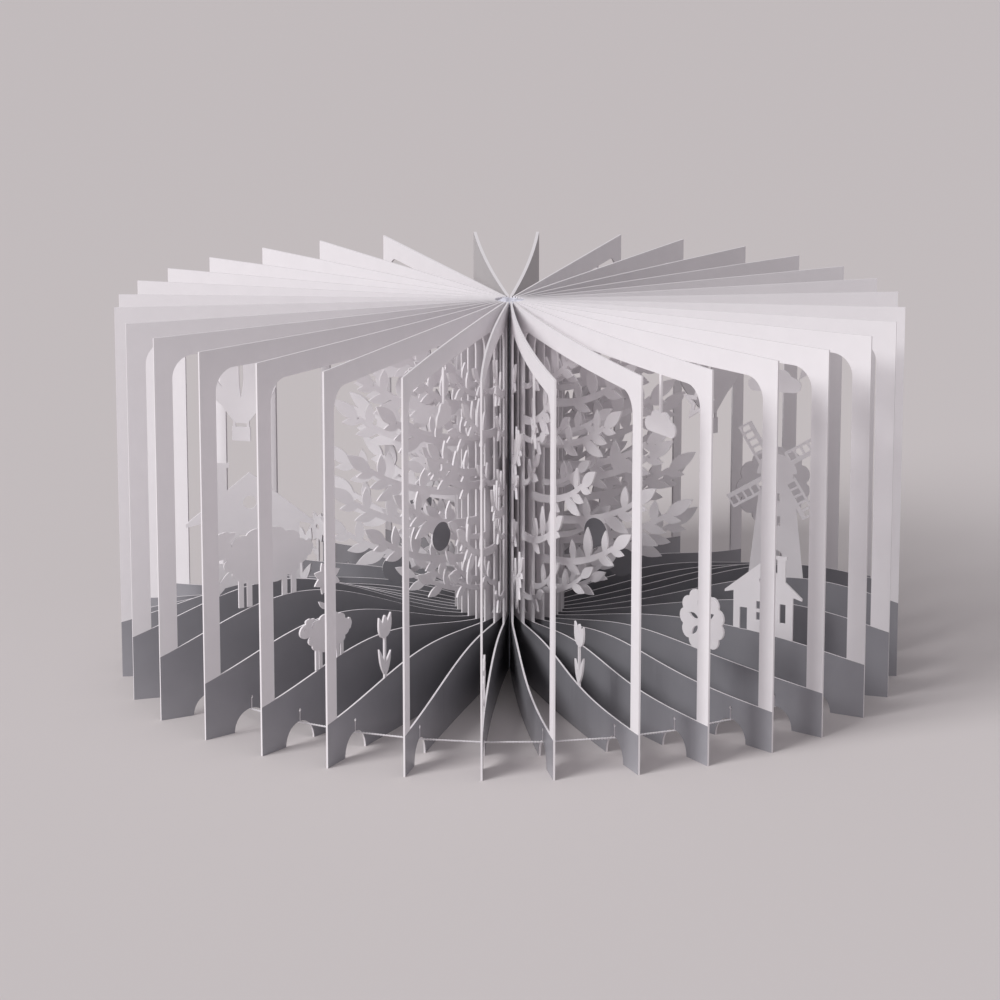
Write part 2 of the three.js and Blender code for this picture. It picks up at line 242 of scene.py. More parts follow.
def petal(x, y, turn, size, width, steps=7):
    """A pointed oval with a short stalk that grows from (x, y) towards an angle in radians."""
    along = (math.cos(turn), math.sin(turn))
    left, right = [], []
    for k in range(steps + 1):
        share = k / steps
        half = 0.0
        if 0 < share < 1:
            half = 0.5 * width * math.sin(math.pi * share**PETAL_LEAN) ** PETAL_ROUND
        if share < STALK_SHARE:
            half = max(half, STALK_HALF)
        px, py = x + along[0] * size * share, y + along[1] * size * share
        left.append((px - along[1] * half, py + along[0] * half))
        right.append((px + along[1] * half, py - along[0] * half))
    return right + left[-2::-1]


def ribbon(points, widths):
    """A strip of changing width along a list of points."""
    left, right = [], []
    last = len(points) - 1
    for k, (x, y) in enumerate(points):
        ax, ay = points[max(k - 1, 0)]
        bx, by = points[min(k + 1, last)]
        size = math.hypot(bx - ax, by - ay)
        nx, ny = -(by - ay) / size, (bx - ax) / size
        half = (widths[0] + (widths[1] - widths[0]) * k / last) / 2
        left.append((x + nx * half, y + ny * half))
        right.append((x - nx * half, y - ny * half))
    return right + left[::-1]


def curve(start, bend, end, steps=12):
    """Points of a quadratic curve."""
    points = []
    for k in range(steps + 1):
        t = k / steps
        a, b, c = (1 - t) ** 2, 2 * t * (1 - t), t * t
        points.append(tuple(a * start[n] + b * bend[n] + c * end[n] for n in (0, 1)))
    return points


def scallops(x, y, across, up, bumps, depth, count=6):
    """A closed oval with a bumpy edge, as on wool or a leafy crown."""
    points = []
    for k in range(bumps * count):
        a = math.tau * k / (bumps * count)
        swell = 1 - depth + depth * abs(math.sin(bumps * a / 2)) ** 0.7
        points.append((x + across * swell * math.cos(a), y + up * swell * math.sin(a)))
    return points


# In millimetres: overlap with the card, stalks, balloon ropes and how far hung figures hang
OVERLAP, STALK, ROPE, HANG = 1.0, 1.0, 0.7, 9.0


def tulip(x, y, size):
    lip = y + size
    cup, half = size * 0.36, size * 0.2
    notch = (x + half * 0.45, lip - cup * 0.42)
    edge = curve((x, lip - cup), (x + half * 1.35, lip - cup), (x + half, lip), 6)
    edge += curve((x + half, lip), (x + half * 0.5, lip - cup * 0.2), notch, 4)[1:]
    edge += curve(notch, (x + half * 0.2, lip), (x, lip), 4)[1:]
    mirrored = [(2 * x - px, py) for px, py in edge[::-1]]
    return [
        (strip(x, y - OVERLAP, lip - cup * 0.6, STALK), "card"),
        (edge + mirrored[1:-1], "card"),
        (petal(x, y + size * 0.04, 1.15, size * 0.5, size * 0.11), "card"),
        (petal(x, y + size * 0.02, math.pi - 1.1, size * 0.42, size * 0.11), "card"),
    ]


def daisy(x, y, size):
    head = size * 0.3
    middle = y + size - head
    turns = [math.tau * (k + 0.5) / 8 for k in range(8)]
    return [
        (strip(x, y - OVERLAP, middle, STALK), "card"),
        *((petal(x, middle, turn, head * 1.04, head * 0.56), "card") for turn in turns),
        (ring(x, middle, head * 0.42), "card"),
        (ring(x, middle, head * 0.17, count=14), "cut"),
        (petal(x, y + size * 0.12, 0.7, size * 0.26, size * 0.1), "card"),
    ]


def star(x, y, size):
    middle = y - HANG - size / 2

    def rays(reach, inner):
        arms = [(inner if k % 2 else reach, math.pi / 2 + math.pi * k / 5) for k in range(10)]
        return [(x + away * math.cos(turn), middle + away * math.sin(turn)) for away, turn in arms]

    return [
        (strip(x, middle, y + OVERLAP, STALK), "card"),
        (rays(size * 0.5, size * 0.22), "card"),
        (rays(size * 0.24, size * 0.1), "cut"),
    ]


def cloud(x, y, size):
    base, half = y - HANG - size * 0.45, size / 2
    edge = arc(x + half * 0.72, base + size * 0.13, size * 0.13, -90, 80, 8)
    edge += arc(x + half * 0.28, base + size * 0.24, size * 0.17, 20, 130, 8)
    edge += arc(x - half * 0.22, base + size * 0.22, size * 0.19, 70, 165, 8)
    edge += arc(x - half * 0.72, base + size * 0.13, size * 0.13, 95, 270, 8)
    return [(strip(x, base + size * 0.2, y + OVERLAP, STALK), "card"), (edge, "card")]


def balloon(x, y, size):
    radius, basket = size * 0.36, size * 0.09
    middle = y - HANG - radius
    foot = middle + radius - size
    throat = foot + basket * 1.9
    skirt = [(x - basket * 0.7, throat), (x + basket * 0.7, throat)]
    skirt += [(x + radius * 0.82, middle - radius * 0.5), (x - radius * 0.82, middle - radius * 0.5)]
    shapes = [
        (strip(x, middle, y + OVERLAP, STALK), "card"),
        (ring(x, middle, radius, count=40), "card"),
        (skirt, "card"),
        (strip(x, foot, foot + basket * 1.5, basket * 2), "card"),
    ]
    for side in (-0.75, 0.75):
        shapes.append((strip(x + basket * side, foot + basket, throat + basket * 0.4, ROPE), "card"))
    for side in (-0.52, 0, 0.52):
        high = middle + radius * (0.72 - 0.5 * abs(side))
        low = middle - radius * (0.62 - 0.5 * abs(side))
        at, bulge = x + side * radius, x + side * radius * 1.5
        gore = curve((at, low), (bulge + radius * 0.09, middle), (at, high), 8)
        back = curve((at, high), (bulge - radius * 0.16, middle), (at, low), 8)
        shapes.append((gore + back[1:-1], "cut"))
    return shapes


def round_tree(x, y, size):
    crown = size * 0.33
    middle = y + size - crown
    shapes = [
        (ribbon([(x, y - OVERLAP), (x, y + size * 0.2), (x, middle)], (size * 0.12, size * 0.07)), "card"),
        (scallops(x, middle, crown, crown, 11, 0.12), "card"),
    ]
    for turn, away in ((0.5, 0.2), (1.8, 0.3), (2.9, 0.18), (4.0, 0.28), (5.3, 0.3)):
        px, py = x + crown * away * math.cos(turn), middle + crown * away * math.sin(turn)
        shapes.append((petal(px, py, turn, crown * 0.42, crown * 0.17), "cut"))
    return shapes


def sheep(x, y, size):
    body, across, up = y + size * 0.42, size * 0.42, size * 0.25
    head = x + across
    shapes = [
        (scallops(x, body, across * 1.03, up * 1.05, 12, 0.1), "card"),
        (ring(head + size * 0.05, body + up * 0.42, size * 0.13, size * 0.095, turn=0.3), "card"),
        (petal(head - size * 0.02, body + up * 0.75, 2.6, size * 0.12, size * 0.06), "card"),
        (scallops(head - size * 0.01, body + up * 0.86, size * 0.075, size * 0.05, 5, 0.15), "card"),
        (ring(head + size * 0.08, body + up * 0.55, size * 0.014, count=10), "cut"),
        (scallops(x - across * 1.02, body + up * 0.1, size * 0.05, size * 0.08, 5, 0.15), "card"),
    ]
    for place in (-0.66, -0.44, 0.4, 0.6):
        shapes.append((strip(x + across * place, y - OVERLAP, body, size * 0.05), "card"))
    return shapes


def cottage(x, y, size):
    wall, eaves, ridge = size * 0.4, y + size * 0.5, y + size * 0.92
    chimney = x + wall * 0.6
    house = [(x - wall, y - 3 * OVERLAP), (x + wall, y - 3 * OVERLAP), (x + wall, eaves)]
    house += [(x + wall * 1.3, eaves - size * 0.03), (x + wall * 1.3, eaves), (x, ridge)]
    house += [(x - wall * 1.3, eaves), (x - wall * 1.3, eaves - size * 0.03), (x - wall, eaves)]
    shapes = [
        (house, "card"),
        (strip(chimney, eaves, y + size * 0.97, size * 0.11), "card"),
        (strip(chimney, y + size * 0.96, y + size, size * 0.15), "card"),
        (ring(x, eaves + size * 0.17, size * 0.055, count=20), "cut"),
    ]
    low, high, half = y + size * 0.16, y + size * 0.4, size * 0.1
    pane, bars = half * 0.82, size * 0.02
    for side in (-1, 1):
        middle = x + side * (pane / 2 + bars / 2)
        shapes.append((strip(middle, low, (low + high) / 2 - bars, pane), "cut"))
        shapes.append((strip(middle, (low + high) / 2 + bars, high, pane), "cut"))
    shapes.append((strip(x - wall * 0.66, y + size * 0.02, y + size * 0.3, size * 0.1), "cut"))
    shapes.append((strip(x + wall * 0.66, low, high, size * 0.08), "cut"))
    return shapes


def windmill(x, y, size):
    hub, sail = y + size * 0.66, size * 0.34
    tower = [(x - size * 0.17, y - 2 * OVERLAP), (x + size * 0.17, y - 2 * OVERLAP)]
    tower += [(x + size * 0.095, hub - size * 0.02), (x - size * 0.095, hub - size * 0.02)]
    shapes = [
        (tower, "card"),
        (arc(x, hub - size * 0.02, size * 0.12, 0, 180, 16), "card"),
        (slot(x, y + size * 0.02, y + size * 0.17, size * 0.08), "cut"),
        (strip(x, y + size * 0.32, y + size * 0.38, size * 0.045), "cut"),
        (strip(x, y + size * 0.47, y + size * 0.52, size * 0.04), "cut"),
    ]

    def patch(turn, near, far, left, right):
        """A four-sided piece of a sail, from near to far along it."""
        ax, ay = math.cos(turn), math.sin(turn)
        corners = ((near, right), (far, right), (far, left), (near, left))
        return [(x + ax * a - ay * b, hub + ay * a + ax * b) for a, b in corners]

    for k in range(4):
        turn = math.radians(30 + 90 * k)
        shapes.append((patch(turn, 0, sail, size * 0.008, -size * 0.014), "card"))
        shapes.append((patch(turn, sail * 0.26, sail, size * 0.075, -size * 0.014), "card"))
        for step in range(5):
            near = sail * (0.31 + 0.14 * step)
            shapes.append((patch(turn, near, near + sail * 0.1, size * 0.06, size * 0.012), "cut"))
    shapes.append((ring(x, hub, size * 0.03, count=18), "card"))
    return shapes


# Page leaf, figure, fore edge to the middle of the figure and size in millimetres
BIG_FIGURES = {
    6: (balloon, 30, 30),
    8: (cottage, 36, 34),
    10: (sheep, 32, 30),
    12: (sheep, 28, 20),
    19: (round_tree, 27, 26),
    21: (cottage, 30, 22),
    23: (windmill, 34, 46),
    25: (round_tree, 30, 34),
    27: (balloon, 34, 34),
}
STAR_SIZE, CLOUD_WIDTH, TULIP_HEIGHT, DAISY_HEIGHT = 11, 15, 17, 15
SMALL_INSET, SMALL_SHIFT = 24, 9


def figures(plan, i, line):
    """The figures on page leaf i: the big ones by name, and a small one in turn on the others."""
    if i in BIG_FIGURES:
        draw, inset, size = BIG_FIGURES[i]
        x = plan.leaf_length - inset
        foot = plan.window_top if draw is balloon else plan.ground(line, x)
        return draw(x, foot, size)
    x = plan.leaf_length - SMALL_INSET - SMALL_SHIFT * (i % 3)
    if i % 4 == 0:
        return star(x, plan.window_top, STAR_SIZE)
    if i % 4 == 2:
        return cloud(x, plan.window_top, CLOUD_WIDTH)
    draw, size = (tulip, TULIP_HEIGHT) if i % 4 == 1 else (daisy, DAISY_HEIGHT)
    return draw(x, plan.ground(line, x), size)


# The tree, in millimetres and radians; each twig is its share of the branch, its turn and its length
CROWN_FOOT, CROWN_TOP, BRANCHES, TREE_SEED = 30, 88, 2, 40
REACH, RISE, BRANCH_WIDTH, BRANCH_TIP, BRANCH_STEPS = 30, 9, 2.4, 1.3, 20
LEAFLET, LEAFLET_WIDTH, LEAFLET_TURN, LEAFLET_AT = 9, 3.6, 1.0, 12
FRUIT, FRUIT_EVERY, FRUIT_AT, FRUIT_LEAF = 8, 4, 10, (-0.2, 4, 1.8)
TWIGS = [(0.3, 1.0, 6.5), (0.4, 1.1, 6.0), (0.75, 0.8, 6.5), (0.85, 0.9, 6.5), (0.95, 0.7, 5.5)]
TWIG_WIDTH = 0.42
SHOOTS, SHOOT_FOOT, SHOOT_STEP, SHOOT_CLEAR, SHOOT_BELOW = 5, -4, 14, 4.5, 9
SHOOT_STEPS, SHOOT_WIDTHS, SHOOT_TURN = 12, (1.7, 1.0), 0.9
SHOOT_TIP, SHOOT_LEAFLET = (6.5, 2.8), (5.5, 2.4)


def branch(plan, y, reach, rise, side_turn, fruit):
    """A curved branch with leaflets at its tip and sides and, on some, a printed fruit."""
    start = (plan.trunk_edge - OVERLAP, y)
    bend = (plan.trunk_edge + reach * 0.6, y + rise * 0.1)
    end = (plan.trunk_edge + reach, y + rise)
    points = curve(start, bend, end, BRANCH_STEPS)
    shapes = [(ribbon(points, (BRANCH_WIDTH, BRANCH_TIP)), "card")]
    tip = math.atan2(end[1] - bend[1], end[0] - bend[0])
    shapes.append((petal(*end, tip, LEAFLET, LEAFLET_WIDTH), "card"))
    shapes.append((petal(*points[LEAFLET_AT], tip + side_turn, LEAFLET, LEAFLET_WIDTH), "card"))
    for k, (share, turn, size) in enumerate(TWIGS):
        at = points[round(share * BRANCH_STEPS)]
        side = 1 if k % 2 else -1
        shapes.append((petal(*at, tip + side * turn, size, size * TWIG_WIDTH), "card"))
    if fruit:
        x, y = points[FRUIT_AT]
        disc = ring(x, y - FRUIT / 2, FRUIT / 2, count=36)
        shapes += [(disc, "card"), (disc, "print"), (petal(x, y, *FRUIT_LEAF), "card")]
    return shapes


def shoot(plan, y, reach, rise):
    """A short curved shoot from the trunk with three leaflets."""
    root = plan.trunk_edge
    points = curve((root - OVERLAP, y), (root + reach * 0.5, y), (root + reach, y + rise), SHOOT_STEPS)
    tip = math.atan2(points[-1][1] - points[-3][1], points[-1][0] - points[-3][0])
    return [
        (ribbon(points, SHOOT_WIDTHS), "card"),
        (petal(*points[-1], tip, *SHOOT_TIP), "card"),
        (petal(*points[7], tip + SHOOT_TURN, *SHOOT_LEAFLET), "card"),
        (petal(*points[9], tip - SHOOT_TURN, *SHOOT_LEAFLET), "card"),
    ]


def tree(plan, i):
    """The main branches on page leaf i, and short leafy shoots between them."""
    draw = random.Random(TREE_SEED + i)
    shapes, heights = [], []
    step = (CROWN_TOP - CROWN_FOOT) / BRANCHES
    for k in range(BRANCHES):
        y = CROWN_FOOT + step * (k + ((i * 3 + k) % 8) / 8)
        high = (y - CROWN_FOOT) / (CROWN_TOP - CROWN_FOOT)
        reach = REACH * (1 - 0.35 * high * high)
        rise = min(RISE, plan.window_top - y - LEAFLET / 2)
        side_turn = LEAFLET_TURN if (i + k) % 2 else -LEAFLET_TURN
        shapes += branch(plan, y, reach, rise, side_turn, k == 0 and i % FRUIT_EVERY == 0)
        heights.append(y)
    for k in range(SHOOTS):
        y = CROWN_FOOT + SHOOT_FOOT + k * SHOOT_STEP + draw.uniform(-2, 2)
        clear = min(abs(y - other) for other in heights) >= SHOOT_CLEAR
        if clear and y <= plan.window_top - SHOOT_BELOW:
            shapes += shoot(plan, y, draw.uniform(9, 17), draw.uniform(3, 7))
    return shapes


def slots(plan):
    """The round-ended slots between the binding bar and the trunk."""
    low = plan.meadow + plan.slot_bridge
    size = (plan.window_top - low - plan.slot_bridge) / 2
    middle = plan.binding_bar + plan.slot_width / 2
    starts = (low, low + size + plan.slot_bridge)
    return [(slot(middle, y, y + size, plan.slot_width), "cut") for y in starts]


SLIT_WIDTH, SLIT_HEIGHT, SLIT_OVERLAP, PINHOLE = 0.35, 3.0, 0.3, 0.45
HILL_STEPS, PRINT_STEPS, ARCH_STEPS = 40, 60, 24


def page_outlines(plan, i, line):
    """Everything that is cut or printed on page leaf i."""
    size, top, crown = plan.leaf_length, plan.leaf_height, plan.arch_radius
    wide = plan.window_outer - plan.trunk_edge
    steps = [plan.trunk_edge + wide * k / HILL_STEPS for k in range(HILL_STEPS + 1)]
    corner = plan.window_top - plan.corner
    window = [(x, plan.ground(line, x)) for x in steps]
    window += arc(plan.window_outer - plan.corner, corner, plan.corner, 0, 90)
    window += arc(plan.trunk_edge + plan.corner, corner, plan.corner, 90, 180)
    across = [size * k / PRINT_STEPS for k in range(PRINT_STEPS, -1, -1)]
    return [
        ([(0, 0), (size, 0), (size, top), (0, top)], "card"),
        (window, "cut"),
        *slots(plan),
        *tree(plan, i),
        *figures(plan, i, line),
        (arc(plan.arch_at, 0, crown, 0, 180, ARCH_STEPS), "cut"),
        (strip(plan.arch_at, crown - SLIT_OVERLAP, crown + SLIT_HEIGHT, SLIT_WIDTH), "cut"),
        (ring(plan.arch_at, crown + SLIT_HEIGHT, PINHOLE, count=12), "cut"),
        ([(0, 0), (size, 0)] + [(x, plan.ground(line, x)) for x in across], "print"),
    ]


FOLD_BEYOND, SAME_POINT = 1, 1e-4


def flat_sheet(name, outlines, folds):
    """A flat triangulated sheet of card in the XY plane, with a face attribute where it is printed."""
    points, faces, edges = [], [], []
    for outline, _ in outlines:
        faces.append(list(range(len(points), len(points) + len(outline))))
        points += [Vector(p) for p in outline]
    low, high = min(p.y for p in points) - FOLD_BEYOND, max(p.y for p in points) + FOLD_BEYOND
    for x in folds:
        edges.append((len(points), len(points) + 1))
        points += [Vector((x, low)), Vector((x, high))]
    corners, _, triangles, _, _, sources = delaunay_2d_cdt(points, edges, faces, 0, SAME_POINT)
    kept, printed = [], []
    for triangle, source in zip(triangles, sources):
        does = [outlines[k][1] for k in sorted(source)]
        solid = [word for word in does if word != "print"]
        if solid and solid[-1] == "card":
            kept.append(triangle)
            printed.append("print" in does)
    used = sorted({corner for triangle in kept for corner in triangle})
    place = {corner: k for k, corner in enumerate(used)}
    mesh = bpy.data.meshes.new(name)
    mesh.from_pydata(
        [(corners[k].x * MM, corners[k].y * MM, 0) for k in used],
        [],
        [[place[corner] for corner in triangle] for triangle in kept],
    )
    attribute = mesh.attributes.new("printed", "BOOLEAN", "FACE")
    attribute.data.foreach_set("value", printed)
    return mesh


# Node helpers


NODE_WIDTH, NODE_HEIGHT = 190, 160


def feed(tree, socket, value):
    """Links an output, or a node's first one, to a socket, or sets the socket to a number or a vector."""
    if isinstance(value, bpy.types.Node):
        value = value.outputs[0]
    if isinstance(value, bpy.types.NodeSocket):
        tree.links.new(value, socket)
    else:
        socket.default_value = value


def add(tree, kind, place=(0, 0), links=(), **settings):
    """Adds a node, sets its properties and inputs, and feeds its inputs from links."""
    node = tree.nodes.new(kind)
    node.location = (place[0] * NODE_WIDTH, -place[1] * NODE_HEIGHT)
    for key, value in settings.items():
        if key in node.bl_rna.properties:
            setattr(node, key, value)
        else:
            node.inputs[key.replace("_", " ")].default_value = value
    for socket, source in dict(links).items():
        feed(tree, node.inputs[socket], source)
    return node


def maths(tree, operation, a, b, place):
    node = add(tree, "ShaderNodeMath", place, operation=operation)
    feed(tree, node.inputs[0], a)
    feed(tree, node.inputs[1], b)
    return node


def vectors(tree, operation, a, b, place):
    node = add(tree, "ShaderNodeVectorMath", place, operation=operation)
    feed(tree, node.inputs[0], a)
    if b is not None:
        feed(tree, node.inputs["Scale" if operation == "SCALE" else 1], b)
    return node


def flagged(tree, links, name, domain, place):
    """Stores a yes-or-no attribute, which is no where the links give it no value."""
    settings = dict(data_type="BOOLEAN", domain=domain, Name=name)
    return add(tree, "GeometryNodeStoreNamedAttribute", place, links, **settings)


def empty_tree(name, **kinds):
    """A Geometry Nodes tree with geometry in and out and further inputs, named under their kind."""
    tree = bpy.data.node_groups.new(name, "GeometryNodeTree")
    face = tree.interface
    face.new_socket("Geometry", in_out="INPUT", socket_type="NodeSocketGeometry")
    for kind, names in kinds.items():
        for socket in names:
            face.new_socket(socket, in_out="INPUT", socket_type=f"NodeSocket{kind}")
    face.new_socket("Geometry", in_out="OUTPUT", socket_type="NodeSocketGeometry")
    return tree, add(tree, "NodeGroupInput").outputs


# Metres between corners that are one corner, and radians over which an edge is drawn sharp
SAME_CORNER, SHARP_EDGE = 1e-6, 0.5


def bent_card_tree():
    """Geometry Nodes: thickens a flat sheet, bends it along its leaf's line and sets its materials."""
    tree, given = empty_tree(
        "Bent card",
        Float=("Thickness", "Length", "Bow", "Bound radius", "Pitch", "Clearance"),
        Vector=("Root", "Fore edge"),
        Material=("Card", "Print"),
    )

    half = maths(tree, "MULTIPLY", given["Thickness"], -0.5, (1, 3))
    down = add(tree, "ShaderNodeCombineXYZ", (2, 3), {"Z": half})
    lowered = add(tree, "GeometryNodeSetPosition", (3, 0), {"Geometry": given["Geometry"], "Offset": down})
    up = add(tree, "ShaderNodeCombineXYZ", (3, 2), {"Z": given["Thickness"]})
    lift = {"Mesh": lowered, "Offset": up}
    raised = add(tree, "GeometryNodeExtrudeMesh", (4, 0), lift, mode="FACES", Individual=False).outputs
    sides = flagged(tree, {0: raised["Mesh"], "Selection": raised["Side"]}, "printed", "FACE", (5, 0))
    under = add(tree, "GeometryNodeFlipFaces", (5, 2), {"Mesh": lowered})
    both = add(tree, "GeometryNodeJoinGeometry", (6, 0))
    for half_card in (sides, under):
        feed(tree, both.inputs[0], half_card)
    whole = add(tree, "GeometryNodeMergeByDistance", (7, 0), {0: both}, Distance=SAME_CORNER)

    position = add(tree, "GeometryNodeInputPosition", (0, 6))
    place = add(tree, "ShaderNodeSeparateXYZ", (1, 6), {0: position}).outputs
    share = maths(tree, "DIVIDE", place["X"], given["Length"], (2, 6))
    rest = maths(tree, "SUBTRACT", 1.0, share, (3, 6))
    peak = maths(tree, "MULTIPLY", given["Bow"], 4.0, (2, 7))
    offset = maths(tree, "MULTIPLY", peak, maths(tree, "MULTIPLY", share, rest, (5, 6)), (6, 6))
    fall = maths(tree, "SUBTRACT", 1.0, maths(tree, "MULTIPLY", share, 2.0, (3, 8)), (4, 8))
    slope = maths(tree, "DIVIDE", maths(tree, "MULTIPLY", peak, fall, (6, 8)), given["Length"], (7, 8))

    chord = vectors(tree, "SUBTRACT", given["Fore edge"], given["Root"], (2, 10))
    along = vectors(tree, "NORMALIZE", chord, None, (3, 10))
    across = vectors(tree, "CROSS_PRODUCT", along, (0.0, 0.0, 1.0), (4, 10))
    lean = vectors(tree, "SCALE", along, slope, (8, 10))
    normal = vectors(tree, "NORMALIZE", vectors(tree, "SUBTRACT", across, lean, (9, 10)), None, (10, 10))

    radius = maths(tree, "ADD", given["Bound radius"], place["X"], (2, 12))
    sector = maths(tree, "MULTIPLY", radius, given["Pitch"], (3, 12))
    room = maths(tree, "SUBTRACT", sector, given["Clearance"], (4, 12))
    ratio = maths(tree, "DIVIDE", room, given["Thickness"], (5, 12))
    squeezed = maths(tree, "MINIMUM", ratio, 1.0, (6, 12))
    away = maths(tree, "MULTIPLY", place["Z"], squeezed, (7, 12))

    at = vectors(tree, "ADD", given["Root"], vectors(tree, "SCALE", chord, share, (8, 7)), (9, 7))
    at = vectors(tree, "ADD", at, vectors(tree, "SCALE", across, offset, (9, 8)), (10, 7))
    at = vectors(tree, "ADD", at, vectors(tree, "SCALE", normal, away, (11, 9)), (12, 7))
    rise = add(tree, "ShaderNodeCombineXYZ", (11, 5), {"Z": place["Y"]})
    at = vectors(tree, "ADD", at, rise, (13, 7))
    bent = add(tree, "GeometryNodeSetPosition", (14, 0), {"Geometry": whole, "Position": at})

    smooth = add(tree, "GeometryNodeSetShadeSmooth", (15, 0), {"Geometry": bent})
    turn = add(tree, "GeometryNodeInputMeshEdgeAngle", (15, 2))
    sharp = add(tree, "FunctionNodeCompare", (16, 2), {0: turn}, operation="GREATER_THAN")
    sharp.inputs[1].default_value = SHARP_EDGE
    marked = flagged(tree, {0: smooth, "Value": sharp}, "sharp_edge", "EDGE", (17, 0))
    real = add(tree, "GeometryNodeRealizeInstances", (18, 0), {"Geometry": marked})
    bare = add(tree, "GeometryNodeSetMaterial", (19, 0), {0: real, "Material": given["Card"]})
    inked = add(tree, "GeometryNodeInputNamedAttribute", (19, 2), data_type="BOOLEAN", Name="printed")
    print_on = {0: bare, "Material": given["Print"], "Selection": inked}
    done = add(tree, "GeometryNodeSetMaterial", (20, 0), print_on)
    add(tree, "NodeGroupOutput", (21, 0), {0: done})
    return tree


def made_real(piece, tree, **inputs):
    """Runs a Geometry Nodes tree on a piece with these inputs and keeps the result as its plain mesh."""
    modifier = piece.modifiers.new(tree.name, "NODES")
    modifier.node_group = tree
    for item in tree.interface.items_tree:
        key = item.name.replace(" ", "_")
        if item.item_type == "SOCKET" and item.in_out == "INPUT" and key in inputs:
            modifier[item.identifier] = inputs[key]
    graph = bpy.context.evaluated_depsgraph_get()
    mesh = bpy.data.meshes.new_from_object(piece.evaluated_get(graph))
    piece.modifiers.remove(modifier)
    flat, piece.data = piece.data, mesh
    bpy.data.meshes.remove(flat)
    mesh.name = piece.name
    return piece


def new_piece(name, data):
    piece = bpy.data.objects.new(name, data)
    bpy.context.scene.collection.objects.link(piece)
    return piece


def aimed(name, data, place, aim):
    """A lamp or a camera at its place, turned to its aim."""
    piece = new_piece(name, data)
    piece.location = place
    piece.rotation_euler = (aim - Vector(place)).to_track_quat("-Z", "Y").to_euler()
    return piece


# Materials


def base_material(name, base, roughness):
    material = bpy.data.materials.get(name)
    if material:
        return material, None, None
    material = bpy.data.materials.new(name)
    material.use_nodes = True
    tree = material.node_tree
    shader = tree.nodes["Principled BSDF"]
    shader.inputs["Base Color"].default_value = base
    shader.inputs["Roughness"].default_value = roughness
    return material, tree, shader


NOISE_RANGE = (0.3, 0.7)


def mapped(tree, value, given, wanted, place):
    """A value moved from one range to another and held at its ends."""
    node = add(tree, "ShaderNodeMapRange", place, {"Value": value})
    for name, limit in zip(("From Min", "From Max", "To Min", "To Max"), (*given, *wanted)):
        node.inputs[name].default_value = limit
    return node


def noise(tree, where, cell_mm, detail, place):
    scale = 1 / (cell_mm * MM)
    return add(tree, "ShaderNodeTexNoise", place, {0: where}, Scale=scale, Detail=detail).outputs["Fac"]


def mottled(tree, shader, base, where, cell_mm, amount):
    """Varies the base colour softly, with patches of about cell_mm."""
    patches = noise(tree, where, cell_mm, 3.0, (-4, 0))
    swing = mapped(tree, patches, NOISE_RANGE, (1 - amount, 1 + amount), (-3, 0))
    feed(tree, shader.inputs["Base Color"], vectors(tree, "SCALE", base[:3], swing, (-2, 0)))


def roughened(tree, shader, where, cell_mm, depth_mm, detail=4.0, strength=0.6):
    """Gives the surface fine bumps of about cell_mm."""
    height = {"Height": noise(tree, where, cell_mm, detail, (-4, 3))}
    bump = add(tree, "ShaderNodeBump", (-2, 3), height, Strength=strength, Distance=depth_mm * MM)
    feed(tree, shader.inputs["Normal"], bump)


def card_stock(name, base, roughness, tooth_mm, tooth_depth_mm, patch_mm, patch):
    """Card: a felt-like tooth of short fibres and a faint cloudiness where the fibres clump."""
    material, tree, shader = base_material(name, base, roughness)
    if tree:
        where = add(tree, "ShaderNodeTexCoord", (-6, 0)).outputs["Object"]
        mottled(tree, shader, base, where, patch_mm, patch)
        roughened(tree, shader, where, tooth_mm, tooth_depth_mm)
    return material


def bare_card():
    """Uncoated white card. Its tooth is 0.2 mm on the real card and drawn at 0.5 mm to show."""
    look = dict(roughness=0.82, tooth_mm=0.5, tooth_depth_mm=0.02, patch_mm=6, patch=0.012)
    return card_stock("uncoated white card", colours().card, **look)


# Painted shade and light on the print: its tint runs from darker deep in the book to lighter at the fore
# edge, over these millimetres from the spine's axis.
# Each millimetre of height counts as the last number less of them, so the print is also painted lighter
# towards the foot.
PAINTED_SHADE_TINT, PAINTED_SHADE_RANGE, PAINTED_SHADE_FALL = (0.82, 1.5), (5, 108), 1.3


def printed_card_with_painted_shade():
    """Grey offset ink on the same card: satin, faintly mottled, with painted shade deep in the book and
    painted light towards the fore edge and foot.
    """
    look = dict(roughness=0.27, tooth_mm=0.5, tooth_depth_mm=0.015, patch_mm=9, patch=0.03)
    material = card_stock("grey offset print on card", colours().print_grey, **look)
    tree = material.node_tree
    if "painted shade ramp" in tree.nodes:
        return material
    where = add(tree, "ShaderNodeTexCoord", (-8, -3)).outputs["Object"]
    flat = vectors(tree, "MULTIPLY", where, (1, 1, 0), (-7, -3))
    reach = add(tree, "ShaderNodeVectorMath", (-6, -3), {0: flat}, operation="LENGTH").outputs["Value"]
    height = add(tree, "ShaderNodeSeparateXYZ", (-6, -4), {0: where}).outputs["Z"]
    fallen = add(tree, "ShaderNodeMath", (-5, -3), {0: height, 2: reach}, operation="MULTIPLY_ADD")
    fallen.inputs[1].default_value = -PAINTED_SHADE_FALL
    # Painted shade: darkens the print deep in the book and up the leaf, and paints it lighter towards the
    # fore edge and foot.
    painted_shade = mapped(tree, fallen, [at * MM for at in PAINTED_SHADE_RANGE], PAINTED_SHADE_TINT, (-4, -3))
    painted_shade.name = "painted shade ramp"
    base = tree.nodes["Principled BSDF"].inputs["Base Color"]
    feed(tree, base, vectors(tree, "SCALE", base.links[0].from_socket, painted_shade, (-1, -3)))
    return material


def cover_board():
    """Uncoated pale grey face of a white-cored board."""
    look = dict(roughness=0.82, tooth_mm=0.6, tooth_depth_mm=0.02, patch_mm=10, patch=0.015)
    return card_stock("uncoated cover board", colours().board, **look)


